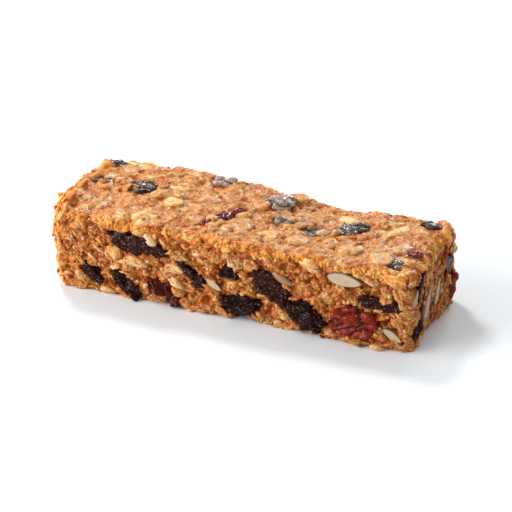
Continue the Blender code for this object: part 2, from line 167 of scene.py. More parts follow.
def goldAndGlowAt(places):
    # how golden each point is, 0 to 1: toasting with painted glow along the top's edges, and painted light
    # on the left end
    x, y, z = places[:, 0], places[:, 1], places[:, 2]

    def near(depth, reach):
        share = np.clip(1.0 - depth / toastAndGlow[reach], 0.0, 1.0)
        return share * share * (3.0 - 2.0 * share)

    side = np.maximum(near(width / 2 - abs(y), "sideReach"), near(length / 2 - abs(x), "sideReach"))
    rim = near(height - z, "topReach") * side
    return np.clip(np.maximum(rim, toastAndGlow["litEndShare"] * near(length / 2 + x, "litEndReach")), 0.0, 1.0)


# Helpers for objects and materials
def newObject(name, mesh, material):
    mesh.materials.clear()
    mesh.materials.append(material)
    mesh.shade_smooth()
    piece = bpy.data.objects.new(name, mesh)
    bpy.context.scene.collection.objects.link(piece)
    return piece


def setAttribute(mesh, name, values):
    attribute = mesh.attributes.new(name, "FLOAT", "POINT")
    attribute.data.foreach_set("value", np.asarray(values, dtype=np.float32))


def meshPlaces(mesh):
    places = np.zeros(len(mesh.vertices) * 3, dtype=np.float32)
    mesh.vertices.foreach_get("co", places)
    return places.reshape(-1, 3).astype(float)


def linearColour(code):
    # an sRGB hex colour as the linear one that nodes take
    shares = [int(code[i : i + 2], 16) / 255 for i in (1, 3, 5)]
    linear = [s / 12.92 if s <= 0.04045 else ((s + 0.055) / 1.055) ** 2.4 for s in shares]
    return (*linear, 1.0)


def setInputs(tree, node, inputs):
    # links the sockets that get another node's output, and sets the others
    for socket, value in inputs.items():
        if isinstance(value, bpy.types.NodeSocket):
            tree.links.new(value, node.inputs[socket])
        else:
            node.inputs[socket].default_value = value


def addNode(tree, kind, inputs=None, stops=None, **settings):
    # one node with its settings, its links or values, and a ramp's colours
    node = tree.nodes.new(kind)
    for name, value in settings.items():
        setattr(node, name, value)
    setInputs(tree, node, inputs or {})
    for number, (place, code) in enumerate(stops or []):
        ramp = node.color_ramp.elements
        element = ramp[number] if number < 2 else ramp.new(place)
        element.position = place
        element.color = linearColour(code)
    return node


def pointValue(tree, name):
    return addNode(tree, "ShaderNodeAttribute", attribute_name=name).outputs["Fac"]


def noiseOf(tree, size, detail):
    spot = addNode(tree, "ShaderNodeTexCoord").outputs["Object"]
    inputs = {"Vector": spot, "Scale": 1 / size, "Detail": detail}
    return addNode(tree, "ShaderNodeTexNoise", inputs).outputs["Fac"]


def ranged(tree, value, start=(0.0, 1.0), end=(0.0, 1.0)):
    # carries a value over from one range to another
    sockets = ("Value", "From Min", "From Max", "To Min", "To Max")
    inputs = dict(zip(sockets, (value, *start, *end)))
    return addNode(tree, "ShaderNodeMapRange", inputs).outputs["Result"]


def combined(tree, operation, first, second):
    return addNode(tree, "ShaderNodeMath", {0: first, 1: second}, operation=operation).outputs["Value"]


def mixed(tree, share, *pair):
    # a colour between two, each a hex code or another node's colour
    first, second = (linearColour(part) if isinstance(part, str) else part for part in pair)
    return addNode(tree, "ShaderNodeMix", {0: share, 6: first, 7: second}, data_type="RGBA").outputs[2]


def bumped(tree, height, strength, distance):
    inputs = {"Height": height, "Strength": strength, "Distance": distance}
    return addNode(tree, "ShaderNodeBump", inputs).outputs["Normal"]


def newMaterial(name):
    material = bpy.data.materials.new(name)
    material.use_nodes = True
    return material, material.node_tree, material.node_tree.nodes["Principled BSDF"]


# Baked oats: rolled oats and syrup pressed and baked, so satin, a little see-through at thin
# edges, with painted shade down in the pores, and golden along the rims, partly toasting and partly painted
# glow
oatFinish = {
    "patchSize": 2.6 * mm,
    "patchTone": (-0.4, 0.4),  # how much darker and lighter the patches are
    "grainSize": 0.45 * mm,  # bran and starch grains, about 0.2 mm, drawn coarser so that they show
    # the grains' tone is partly their own and partly painted light: raised grains lighter as painted
    # glints, the pits between darker and oranger as painted glow
    "grainToneAndGlint": (-0.42, 0.42),
    "shades": [(0.0, "#5C1C02"), (0.2, "#9A480A"), (0.42, "#BC7428"), (0.62, "#CC985E"), (0.8, "#D5B289"),
               (0.95, "#DBC8AF")],
    "golden": [(0.1, "#B05008"), (0.36, "#E08212"), (0.6, "#F2A334"), (0.86, "#F7C87A")],
    "goldPatches": (0.36, 0.62),  # patches over this are golden all through
    "goldShare": (0.3, 1.0),
    # the colour of the painted shade in the pores and hollows, warm as light glowing through syrup
    "hollowShadeColour": "#AC4006",
    "bumpStrength": 0.8,
    "bumpDepth": 0.22 * mm,
    # the coat is the syrup's own film, a soft sheen
    "shader": {"Roughness": 0.42, "IOR": 1.46, "Specular IOR Level": 0.2, "Coat Weight": 0.28,
               "Coat Roughness": 0.24, "Subsurface Weight": 0.5, "Subsurface Radius": (1.0, 0.6, 0.3),
               "Subsurface Scale": 1.0 * mm},
}


def bakedOats():
    finish = oatFinish
    material, tree, shader = newMaterial("bakedOatsAndSyrup")
    patches = noiseOf(tree, finish["patchSize"], 3.0)
    grains = noiseOf(tree, finish["grainSize"], 2.0)
    tone = combined(tree, "ADD", pointValue(tree, "tint"), ranged(tree, patches, end=finish["patchTone"]))
    # grain tone over the bump's own noise: painted glints on raised grains, painted glow in the pits
    tone = combined(tree, "ADD", tone, ranged(tree, grains, end=finish["grainToneAndGlint"]))
    pale, warm = (addNode(tree, "ShaderNodeValToRGB", {"Fac": tone}, stops=finish[name]).outputs["Color"]
                  for name in ("shades", "golden"))
    # gold in patches: toasting with painted glow along the top's edges, and painted light on the left end
    goldPatchShare = ranged(tree, patches, finish["goldPatches"], finish["goldShare"])
    golden = mixed(tree, combined(tree, "MULTIPLY", pointValue(tree, "goldAndGlow"), goldPatchShare), pale, warm)
    # painted shade: darker and warmer down in the pores and hollows
    paintedShade = mixed(tree, pointValue(tree, "hollowShade"), golden, finish["hollowShadeColour"])
    bump = bumped(tree, grains, finish["bumpStrength"], finish["bumpDepth"])
    setInputs(tree, shader, {**finish["shader"], "Base Color": paintedShade, "Normal": bump})
    return material


# Dried fruit: a thin sugary skin shrunk over jam, so dark, with painted shade in its creases, small crisp
# glints along its folds, some of them painted, a grey bloom with painted sheen on some, and red-brown and
# grainy where the knife went through
fruitFinish = {
    "raisin": {
        "creaseShadeColour": "#060202",
        "ridge": "#220D0A",
        "cut": ("#080202", "#36100B"),
        "sugarGlintColour": "#C09A8E",
        "bloomAndSheen": "#B09A8C",
        "glint": "#FFD8CC",
        "shader": {"Specular IOR Level": 0.13, "Subsurface Weight": 0.0},
    },
    "cranberry": {
        "creaseShadeColour": "#2A0401",
        "ridge": "#80220E",
        "cut": ("#2C0502", "#8E2812"),
        "sugarGlintColour": "#D9A08A",
        "bloomAndSheen": "#8A5A50",
        "glint": "#FFDCD0",
        "shader": {"Specular IOR Level": 0.2, "Subsurface Weight": 0.12},
    },
    "shader": {"IOR": 1.47, "Coat Roughness": 0.1, "Subsurface Radius": (1.0, 0.2, 0.1),
               "Subsurface Scale": 1.0 * mm},
    "roughness": (0.13, 0.28),  # of the skin, and of the cut
    "pebbleSize": 0.55 * mm,
    "pebbles": (0.38, 0.66),  # from the cut's dark colour to its light one
    "bumpStrength": (0.3, 0.7),  # on the skin, and on the cut
    "bumpDepth": 0.3 * mm,
    # pale specks on the ridges: painted glints, which read also as sugar grains
    "sugarGlintSize": 0.45 * mm,
    "sugarGlintSpecks": (0.62, 0.76),
    "sugarGlintShare": (0.0, 0.55),
}


def driedFruitSkin(kind):
    shared, finish = fruitFinish, fruitFinish[kind]
    material, tree, shader = newMaterial(f"dried{kind.title()}Skin")
    crease, cut = pointValue(tree, "crease"), pointValue(tree, "cut")
    fine = noiseOf(tree, shared["pebbleSize"], 2.0)
    sugarGlintNoise = noiseOf(tree, shared["sugarGlintSize"], 1.0)
    # painted shade: the skin takes the crease shade colour down in its creases
    skin = mixed(tree, crease, finish["ridge"], finish["creaseShadeColour"])
    inside = mixed(tree, ranged(tree, fine, shared["pebbles"]), *finish["cut"])
    flesh = mixed(tree, cut, skin, inside)
    bared = ranged(tree, crease, end=(1.0, 0.0))  # the creases, in painted shade, keep clear of the bloom's painted sheen and the painted glints
    # grey bloom with painted sheen, grainy, kept to the ridges
    bloomSheenShare = combined(tree, "MULTIPLY", pointValue(tree, "bloomAndSheen"), fine)
    bloomSheened = mixed(tree, combined(tree, "MULTIPLY", bloomSheenShare, bared), flesh, finish["bloomAndSheen"])
    # painted glints: pale specks on the ridges
    sugarGlintMask = ranged(tree, sugarGlintNoise, shared["sugarGlintSpecks"], shared["sugarGlintShare"])
    sugarGlinted = mixed(tree, combined(tree, "MULTIPLY", sugarGlintMask, bared), bloomSheened, finish["sugarGlintColour"])
    strength = ranged(tree, cut, end=shared["bumpStrength"])
    setInputs(tree, shader, {
        **shared["shader"],
        **finish["shader"],
        "Specular Tint": linearColour(finish["glint"]),
        "Base Color": sugarGlinted,
        "Roughness": ranged(tree, cut, end=shared["roughness"]),
        "Coat Weight": pointValue(tree, "shine"),
        "Normal": bumped(tree, fine, strength, shared["bumpDepth"]),
    })
    return material


# Sunflower kernels: hulled seed with a thin grey skin, tan with syrup where it is whole, and
# cream and waxy where it is cut
kernelFinish = {
    "face": "#C09C80",
    "green": "#A39C80",
    "skin": "#7A6A5A",
    "tan": "#A56E42",
    "cloudSize": 1.8 * mm,
    "clouds": (0.3, 0.7),
    "fleckSize": 0.5 * mm,
    "bumpStrength": 0.3,
    "bumpDepth": 0.1 * mm,
    "shader": {"Roughness": 0.42, "IOR": 1.47},
}


def sunflowerKernelSkin():
    finish = kernelFinish
    material, tree, shader = newMaterial("hulledSunflowerKernel")
    clouds = ranged(tree, noiseOf(tree, finish["cloudSize"], 3.0), finish["clouds"])
    face = mixed(tree, clouds, finish["face"], finish["green"])
    seed = mixed(tree, pointValue(tree, "cut"), finish["skin"], face)
    skinned = mixed(tree, pointValue(tree, "tan"), seed, finish["tan"])
    flecks = noiseOf(tree, finish["fleckSize"], 2.0)
    bump = bumped(tree, flecks, finish["bumpStrength"], finish["bumpDepth"])
    setInputs(tree, shader, {**finish["shader"], "Base Color": skinned, "Normal": bump})
    return material


# Fruit: each piece is the solid from model.glb, smoothed and wrinkled
fruit = {
    "fine": ("front", "top"),  # faces whose large fruit gets one more smoothing
    "large": 100,  # triangles of a large fruit's solid
    "levels": 2,
    "merge": 0.001 * mm,
    "swell": 0.14 * mm,  # makes up for what smoothing takes away
    "flatWithin": 0.05 * mm,  # a cut has more corners than five this near to one level
    "plainCorners": 5,
    "cutTurn": (0.75, 0.95),  # how squarely the skin must face outwards to count as cut
    "cutDepth": (-0.9 * mm, -0.1 * mm),  # and how near to the level of the cut
    "cutCalm": 0.55,  # share of the folds that a cut takes away
    "topShine": 0.7,  # the moist gloss of the fruit that lies bare in the top
    "topFold": 0.75,  # share of the folds left in fruit pressed into the top
    "dark": {"cranberry_01": 0.85, "cranberry_03": 0.3},  # how far a fruit that is darker all over takes the crease shade colour as its own
    "ragged": 0.7 * mm,  # how far an outline wanders
    "raggedSpacing": 2.4 * mm,
    "raggedFlat": 0.8,  # share of the wandering that stays within the bar's face
    "drawnOut": 0.45,  # how far the folds run along the fruit
    "foldGain": 3.0,
    "foldLevel": 0.6,  # folds over this stand out, and under it lie in
    "creaseGain": 1.1,
    "seedStep": (1.7, 0.3, 4.1),
    "floorGap": 0.02 * mm,
    # height and spacing of the folds, and of the crinkles on them
    "raisin": ((0.75 * mm, 1.9 * mm), (0.22 * mm, 0.85 * mm)),
    "cranberry": ((0.85 * mm, 2.3 * mm), (0.3 * mm, 0.9 * mm)),
    # how much grey bloom a raisin wears: partly real sugar bloom, partly painted sheen of the light it
    # reflects
    "bloomAndSheen": {"raisin_13": 0.3, "raisin_14": 0.1, "raisin_15": 1.5, "raisin_16": 0.8, "raisin_17": 0.4,
              "raisin_18": 1.7, "raisin_19": 0.2, "raisin_20": 0.4, "raisin_21": 0.8, "raisin_22": 0.9},
}


def nearestFace(point):
    # the face of the bar that a fruit sits in
    depths = {
        "front": point.y + width / 2, "back": width / 2 - point.y, "left": point.x + length / 2,
        "right": length / 2 - point.x, "base": point.z, "top": height - point.z,
    }
    return min(depths, key=depths.get)


def smoothedCopy(node, levels):
    # the node's own mesh, merged and then smoothed
    bm = bmesh.new()
    bm.from_mesh(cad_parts[node].data)
    bmesh.ops.remove_doubles(bm, verts=bm.verts, dist=fruit["merge"])
    mesh = bpy.data.meshes.new(node)
    bm.to_mesh(mesh)
    bm.free()
    helper = bpy.data.objects.new("smoothing", mesh)
    bpy.context.scene.collection.objects.link(helper)
    smoothing = helper.modifiers.new("Subdivision", "SUBSURF")
    smoothing.levels = levels
    smoothing.render_levels = levels
    graph = bpy.context.evaluated_depsgraph_get()
    smooth = bpy.data.meshes.new_from_object(helper.evaluated_get(graph))
    bpy.data.objects.remove(helper, do_unlink=True)
    return smooth


def longAxis(places):
    spread = places - places.mean(axis=0)
    return Vector(np.linalg.eigh(spread.T @ spread)[1][:, 2])


def wrinkledFruit(node):
    # one fruit's mesh with its folds, how much painted shade each point has in a crease, and how far it is
    # on the cut
    kind, number = node.split("_")
    (foldHeight, foldSpacing), (crinkleHeight, crinkleSpacing) = fruit[kind]
    low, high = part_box(node)
    face = nearestFace((low + high) / 2)
    out = Vector(faces[face]["out"])
    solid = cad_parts[node].data
    top = max(vert.co.dot(out) for vert in solid.vertices)
    level = [vert.co for vert in solid.vertices if vert.co.dot(out) > top - fruit["flatWithin"]]
    sliced = len({tuple(round(part, 6) for part in place) for place in level}) > fruit["plainCorners"]
    large = len(solid.polygons) >= fruit["large"]
    mesh = smoothedCopy(node, fruit["levels"] + (1 if large and face in fruit["fine"] else 0))
    normals = [vert.normal.copy() for vert in mesh.vertices]
    creaseShades, cuts = [], []
    seed = int(number) * Vector(fruit["seedStep"])
    axis = longAxis(meshPlaces(mesh))
    for vert, normal in zip(mesh.vertices, normals):
        cut = 0.0
        if sliced:
            cut = smoothStep(*fruit["cutTurn"], normal.dot(out))
            cut *= smoothStep(*fruit["cutDepth"], vert.co.dot(out) - top)
        drawnOut = vert.co - fruit["drawnOut"] * vert.co.dot(axis) * axis
        fold = fruit["foldGain"] * abs(noise.noise(drawnOut / foldSpacing + seed))
        crinkle = fruit["foldGain"] * abs(noise.noise(drawnOut / crinkleSpacing - seed))
        rise = foldHeight * (fold - fruit["foldLevel"]) + crinkleHeight * (crinkle - fruit["foldLevel"])
        rise *= fruit["topFold"] if face == "top" else 1.0
        ragged = steadyNoise(vert.co / fruit["raggedSpacing"] + seed) * fruit["ragged"]
        ragged -= out * ragged.dot(out) * fruit["raggedFlat"]
        vert.co += normal * (fruit["swell"] + rise * (1.0 - fruit["cutCalm"] * cut)) + ragged
        vert.co.z = max(vert.co.z, fruit["floorGap"])
        # painted shade in the creases, darker where the fold sinks
        crease = min(1.0, max(0.0, 1.0 - fruit["creaseGain"] * fold))
        creaseShades.append(max(crease, fruit["dark"].get(node, 0.0)) * (1.0 - cut))
        cuts.append(cut)
    count = len(mesh.vertices)
    setAttribute(mesh, "crease", creaseShades)
    setAttribute(mesh, "cut", cuts)
    setAttribute(mesh, "bloomAndSheen", np.full(count, fruit["bloomAndSheen"].get(node, 0.0)))
    setAttribute(mesh, "shine", np.full(count, fruit["topShine"] if face == "top" else 0.0))
    return mesh


def joinMeshes(name, meshes, material):
    bm = bmesh.new()
    for mesh in meshes:
        bm.from_mesh(mesh)
    joined = bpy.data.meshes.new(name)
    bm.to_mesh(joined)
    bm.free()
    return newObject(name, joined, material)


def fruitPieces():
    pieces = []
    for kind, name in (("raisin", "raisins"), ("cranberry", "cranberries")):
        nodes = sorted(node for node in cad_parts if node.startswith(kind))
        piece = joinMeshes(name, [wrinkledFruit(node) for node in nodes], driedFruitSkin(kind))
        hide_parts(*nodes)
        pieces.append(piece)
        print(f"{name}: {len(nodes)} pieces, {len(piece.data.polygons)} faces")
    return pieces


# The baked mass between the flakes and the fruit
mass = {
    "cells": (278, 88, 62),
    "crag": 0.62 * mm,
    "cragSpacing": 2.3 * mm,
    "rough": 0.28 * mm,
    "roughSpacing": 1.1 * mm,
    "roughSeed": (5.0, 1.0, 2.0),
    "grain": 0.28 * mm,  # grains that stand like gravel
    "grainSpacing": 0.85 * mm,
    "grainLevel": 0.42,  # a grain ends this share of the spacing from its middle
    "layer": 0.75 * mm,  # the gaps between the stacked chunks of a cut side
    "layerSpacing": (2.7 * mm, 2.7 * mm, 1.7 * mm),
    "layerTilt": 0.3,  # how steeply the layers fall towards the right end
    "layerGap": 0.32,
    "bend": 1.6 * mm,
    "bendSpacing": 6.5 * mm,
    "pore": 0.95 * mm,
    "poreSpacing": 1.7 * mm,
    "poreSeed": (2.0, 8.0, 4.0),
    "poreNoise": (0.16, 0.42),  # where the noise makes a pore's rim and its bottom
    "topPores": 0.25,  # share of the pores, on the pressed top
    "topShare": 1.1,  # of the crags, on the pressed top
    "sideDrop": 0.35 * mm,  # how far the mass lies under the flakes of a cut side
    "underFruit": 0.7 * mm,
    "fruitReach": 4.0 * mm,
    "crevice": 0.5 * mm,
    "creviceWidth": 0.7 * mm,
    "creviceRise": 0.1 * mm,  # the most that the mass stands up beside a crevice
    "film": 0.16 * mm,  # how far the syrup stays under a flake's top
    "drapeReach": 3 * mm,
    "drapeSoftness": 3,
    "drapeKeep": 0.4,  # share of its own height that a point keeps in each softening
    "tint": 0.36,
    "topTint": 0.1,  # how much lighter the top is
    # painted shade in the hollows: where it starts, how deep it takes, and how dark at most
    "shadeFrom": 0.1,
    "shadeDepth": 1.5 * mm,
    "shadeMost": 0.8,
    "under": -0.7,  # outward directions that point down more than this are the underside's
    "underFrom": 2 * mm,
    "underReach": 6 * mm,
    "baseLift": 0.14 * mm,  # the underside between the flakes that touch
    "baseDent": 0.3 * mm,
}


def fineRelief(point, normal):
    # height over the block's relief: crags, grains, layers and pores
    side = 1.0 - abs(normal.z)
    craggy = side + mass["topShare"] * (1.0 - side)
    bent = point + mass["bend"] * steadyNoise(point / mass["bendSpacing"])
    bent.z += mass["layerTilt"] * bent.x
    near, second = noise.voronoi(Vector(bent[i] / mass["layerSpacing"][i] for i in range(3)))[0][:2]
    crack = 1.0 - smoothStep(0.0, mass["layerGap"], second - near)
    rise = craggy * mass["crag"] * noise.noise(point / mass["cragSpacing"])
    rise += craggy * mass["rough"] * noise.noise(point / mass["roughSpacing"] + Vector(mass["roughSeed"]))
    rise += mass["grain"] * (mass["grainLevel"] - noise.voronoi(point / mass["grainSpacing"])[0][0])
    rise -= side * (mass["layer"] * crack + mass["sideDrop"])
    pores = noise.noise(bent / mass["poreSpacing"] + Vector(mass["poreSeed"]))
    pore = smoothStep(*mass["poreNoise"], pores)
    return rise - mass["pore"] * (pore * (mass["topPores"] + (1.0 - mass["topPores"]) * side))


def besideFruit(place, normal, rise, fruitTree):
    # lets the mass dip under a fruit and pull away a little from its outline
    reach = mass["fruitReach"]
    hit, _, _, gap = fruitTree.ray_cast(place + reach * normal, -normal, 2 * reach)
    if hit is not None:
        return min(rise, reach - gap - mass["underFruit"])
    near, _, _, gap = fruitTree.find_nearest(place, mass["creviceWidth"])
    if near is not None:
        rise = min(rise, mass["creviceRise"]) - mass["crevice"] * (1.0 - gap / mass["creviceWidth"])
    return rise


def hollowShadeAt(rises, normals, places):
    # how much painted shade each point gets at its height over the block, 0 to 1: darker down in the
    # hollows
    flat = np.maximum(0.0, normals[:, 2])
    paintedShade = -mass["shadeFrom"] * (1.0 - flat) - rises * (1.0 + flat) / mass["shadeDepth"]
    paintedShade = np.clip(paintedShade, 0.0, 1.0) * mass["shadeMost"]
    return paintedShade * (1.0 - toastAndGlow["hollowShadePaling"] * goldAndGlowAt(places))


def bakedOatMass(fruitTree, material):
    # gives the piece, and its points' outward directions and heights over the block
    bm = bmesh.new()
    bmesh.ops.create_cube(bm, size=1.0)
    bmesh.ops.scale(bm, verts=bm.verts, vec=(length, width, height))
    for axis, cells in enumerate(mass["cells"]):
        splitAlong(bm, axis, cells - 1)
    normals, rises = [], []
    up = Vector((0.0, 0.0, 1.0))
    for vert in bm.verts:
        place, normal = roundedBlock(vert.co)
        place += normal * blockRelief(place, normal)
        rise = 0.0
        if normal.z < mass["under"]:
            dent = noise.noise(place / block["lumpSpacing"])
            dent += 0.5 * noise.noise(place / mass["roughSpacing"])
            place.z = mass["baseLift"] + mass["baseDent"] * max(0.0, dent)
            hit = fruitTree.ray_cast(place - mass["underFrom"] * up, up, mass["underReach"])[0]
            if hit is not None:
                place.z = max(place.z, hit.z + mass["underFruit"])
        else:
            rise = besideFruit(place, normal, fineRelief(place, normal), fruitTree)
            place += normal * rise
            place.z = max(place.z, mass["baseLift"])
        vert.co = place
        normals.append(normal[:])
        rises.append(rise)
    normals, rises = np.array(normals), np.array(rises)
    mesh = bpy.data.meshes.new("bakedOatMass")
    bmesh.ops.triangulate(bm, faces=bm.faces)
    bm.to_mesh(mesh)
    bm.free()
    setAttribute(mesh, "tint", mass["tint"] + mass["topTint"] * np.maximum(0.0, normals[:, 2]))
    # gold: toasting with painted glow along the top's edges, and painted light on the left end
    setAttribute(mesh, "goldAndGlow", goldAndGlowAt(meshPlaces(mesh)))
    piece = newObject("bakedOatMass", mesh, material)
    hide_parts("oat_bar")
    print(f"bakedOatMass: {len(mesh.polygons)} triangles")
    return piece, normals, rises


def drapeOver(piece, normals, rises, flakeTree, fruitTree):
    # pulls the mass up to the flakes in soft shoulders, as the syrup that glues them does
    places = meshPlaces(piece.data)
    lifts = np.zeros(len(places))
    reach = mass["drapeReach"]
    for number, (place, normal) in enumerate(zip(places, normals)):
        place, normal = Vector(place), Vector(normal)
        if normal.z < mass["under"]:
            continue
        hit, _, _, gap = flakeTree.ray_cast(place + reach * normal, -normal, reach)
        if hit is not None and fruitTree.ray_cast(place, normal, reach)[0] is None:
            lifts[number] = max(0.0, reach - gap - mass["film"])
    pairs = np.zeros(len(piece.data.edges) * 2, dtype=np.int32)
    piece.data.edges.foreach_get("vertices", pairs)
    pairs = pairs.reshape(-1, 2)
    counts = np.bincount(pairs.ravel(), minlength=len(places))
    for _ in range(mass["drapeSoftness"]):
        sums = np.bincount(pairs[:, 0], lifts[pairs[:, 1]], len(places))
        sums += np.bincount(pairs[:, 1], lifts[pairs[:, 0]], len(places))
        lifts = mass["drapeKeep"] * lifts + (1.0 - mass["drapeKeep"]) * sums / counts
    places += normals * lifts[:, None]
    places[:, 2] = np.maximum(places[:, 2], mass["baseLift"])
    piece.data.vertices.foreach_set("co", places.astype(np.float32).ravel())
    piece.data.update()
    # painted shade by height: darker down in the pores and hollows
    setAttribute(piece.data, "hollowShade", hollowShadeAt(rises + lifts, normals, places))
    print("bakedOatMass: drawn up to the flakes")


# Copies joined into one piece, each with painted shade at its foot, fading upwards
copyShade = {"most": 0.68, "level": 0.04, "depth": 1.2 * mm}
# Where the search for the baked surface starts outside the block, and its reach
probe = {"start": 5 * mm, "reach": 9 * mm}


def template(bm):
    # a shape as arrays: its points and its triangles
    bmesh.ops.triangulate(bm, faces=bm.faces)
    bm.verts.index_update()
    points = np.array([vert.co[:] for vert in bm.verts])
    triangles = np.array([[vert.index for vert in face.verts] for face in bm.faces])
    bm.free()
    return points, triangles


def bitten(point, seed, amounts, scales):
    # a share of the full size, more or less than 1, in large and in small bites
    (large, small), (wide, narrow) = amounts, scales
    return 1.0 + large * noise.noise(wide * point + seed) + small * noise.noise(narrow * point - seed)


def placed(points, pose):
    return points @ np.array(pose.to_3x3()).T + np.array(pose.translation)


def joinCopies(name, copies, material):
    # copies are (points, triangles, tint, warmth, level that the painted shade starts from, outward
    # direction)
    count = 0
    allPoints, allTriangles, tints, warmths, hollowShades = [], [], [], [], []
    for points, triangles, tint, warmth, surface, out in copies:
        allPoints.append(points)
        allTriangles.append(triangles + count)
        count += len(points)
        above = (points - np.array(surface)) @ np.array(out)
        tints.append(np.full(len(points), tint))
        warmths.append(np.full(len(points), warmth))
        # painted shade, darkest at the copy's foot and fading upwards
        hollowShades.append(np.clip(copyShade["level"] - above / copyShade["depth"], 0.0, copyShade["most"]))
    places = np.concatenate(allPoints)
    places[:, 2] = np.maximum(places[:, 2], 0.0)
    mesh = bpy.data.meshes.new(name)
    mesh.from_pydata(places.tolist(), [], np.concatenate(allTriangles).tolist())
    setAttribute(mesh, "tint", np.concatenate(tints))
    # gold: the shown flakes' own, and toasting with painted glow and painted light as on the mass
    goldAndGlow = np.maximum(goldAndGlowAt(places), np.concatenate(warmths))
    setAttribute(mesh, "hollowShade", np.concatenate(hollowShades) * (1.0 - toastAndGlow["hollowShadePaling"] * goldAndGlow))
    setAttribute(mesh, "goldAndGlow", goldAndGlow)
    piece = newObject(name, mesh, material)
    print(f"{name}: {len(copies)} copies, {len(mesh.polygons)} triangles")
    return piece


def surfacePose(massTree, fruitTree, face, along, across, turn):
    # a pose on the baked surface, its Z out of the block, and the height there over the block's
    # relief, or nothing where fruit lies over it
    flat = onFace(face, along, across, turn)
    place, out = roundedBlock(flat.translation - Vector((0, 0, height / 2)))
    first = flat.to_3x3().col[0]
    first = (first - out * first.dot(out)).normalized()
    start = place + out * (blockRelief(place, out) + probe["start"])
    hit, _, _, gap = massTree.ray_cast(start, -out, probe["reach"])
    over, _, _, fruitGap = fruitTree.ray_cast(start, -out, probe["reach"])
    if hit is None or (over is not None and fruitGap < gap):
        return None, 0.0
    axes = Matrix((first, out.cross(first), out)).transposed()
    return Matrix.Translation(hit) @ axes.to_4x4(), probe["start"] - gap


# Rolled oat flakes
flakes = {
    "segments": (12, 4),
    "fineSegments": (24, 8),  # for the ones that show one by one
    "shapes": 12,
    "size": (6.4 * mm, 4.4 * mm, 1.3 * mm),
    "spread": 0.32,
    "sideSpread": (0.85, 1.15),
    "ragged": (0.28, 0.16),  # how much the outline strays, in large and in small bites
    "bites": (3.0, 8.0),
    "buckle": 0.6,
    "buckleWaves": 2.2,
    "rim": 0.7,  # under 1, the rim is fuller than an oval's
    # columns and rows, and the ranges of lean and turn in degrees, of stand in mm, and of tint
    # the lit left end's tints run lighter and the shaded right end's darker: painted light and shade
    "grids": {
        "top": (22, 7, (0, 8), (0, 180), (0.1, 0.35), (0.36, 0.66)),
        "front": (31, 9, (20, 80), (-52, 30), (-0.1, 0.6), (0.26, 0.62)),
        "back": (31, 9, (20, 80), (-52, 30), (-0.4, 0.3), (0.26, 0.62)),
        "right": (11, 9, (30, 85), (45, 85), (-0.3, 0.4), (0.12, 0.62)),
        "left": (13, 11, (10, 70), (40, 110), (-0.3, 0.4), (0.38, 0.8)),
        "base": (16, 6, (0, 5), (0, 180), (0.1, 0.3), (0.4, 0.7)),
    },
    "clearOfShown": 1.2,  # how far the grid's flakes keep off those that show one by one
    "cutShare": 0.66,  # a flake broken by the cut is this much smaller
    "edgeTurn": (0.8, 0.97),  # over the block's rounded edges the flakes lie down
    "edgeCalm": 0.7,
    "leastStand": 0.15 * mm,
    "fruitNear": 2.2 * mm,
    "overFruit": 0.45 * mm,  # how far oats lie over the outline of a fruit
    "depthShade": 0.45,  # how much painted shade a flake or crumb down in a hollow gets
    "shownGold": 0.9,
    "goldTint": 0.7,  # in the top, the shown ones with a higher tint than this are golden
    # the flakes that show one by one: face, place, length and breadth in mm, turn in degrees, how
    # far they stand out in mm, and tint
    "shown": [
        ("top", (-37.0, 13.4), (8.6, 5.0), 1, 0.7, 0.8),
        ("top", (-22.5, 5.9), (7.6, 4.6), 20, 0.6, 0.78),
        ("top", (-21.6, -1.9), (5.8, 4.8), -13, 0.6, 0.76),
        ("top", (-26.0, -10.4), (9.4, 4.8), 48, 0.6, 0.74),
        ("top", (7.0, -7.6), (7.2, 5.0), 44, 0.6, 0.72),
        ("top", (14.9, -6.8), (6.4, 5.2), -6, 0.5, 0.66),
        ("top", (24.2, 8.8), (7.4, 4.2), -4, 0.7, 0.86),
        ("top", (38.6, 7.6), (10.8, 5.4), 66, 0.5, 0.78),
        ("top", (30.0, -7.4), (7.4, 5.4), 20, 0.8, 0.6),
        ("top", (39.6, -10.4), (6.4, 5.6), -20, 0.6, 0.62),
        ("front", (-34.7, 19.0), (5.4, 2.4), 25, 0.35, 0.64),
        ("front", (-22.6, 18.9), (5.0, 2.4), -37, 0.5, 0.72),
        ("front", (-26.6, 11.6), (6.4, 2.8), -8, 0.3, 0.62),
        ("front", (-33.0, 13.2), (5.0, 3.4), -20, 0.4, 0.52),
        ("front", (22.1, 20.0), (5.0, 3.2), -15, 0.7, 0.72),
        ("front", (38.6, 3.2), (5.4, 2.4), -66, 1.2, 0.6),
        ("front", (41.0, 0.9), (4.2, 2.6), 0, 1.4, 0.7),
        ("front", (-35.2, 0.9), (4.2, 2.4), -8, 1.0, 0.6),
        ("front", (45.4, 20.2), (6.0, 3.4), -14, 1.1, 0.55),
        ("front", (-15.3, 7.6), (4.9, 2.2), -30, 0.4, 0.72),
        ("front", (-16.0, 11.2), (5.8, 2.6), -3, 0.3, 0.62),
        ("left", (9.2, 18.4), (6.4, 3.4), 52, 0.3, 0.8),
        ("right", (13.6, 16.6), (3.0, 2.6), -40, 0.9, 0.6),
    ],
    "seed": 31,
}


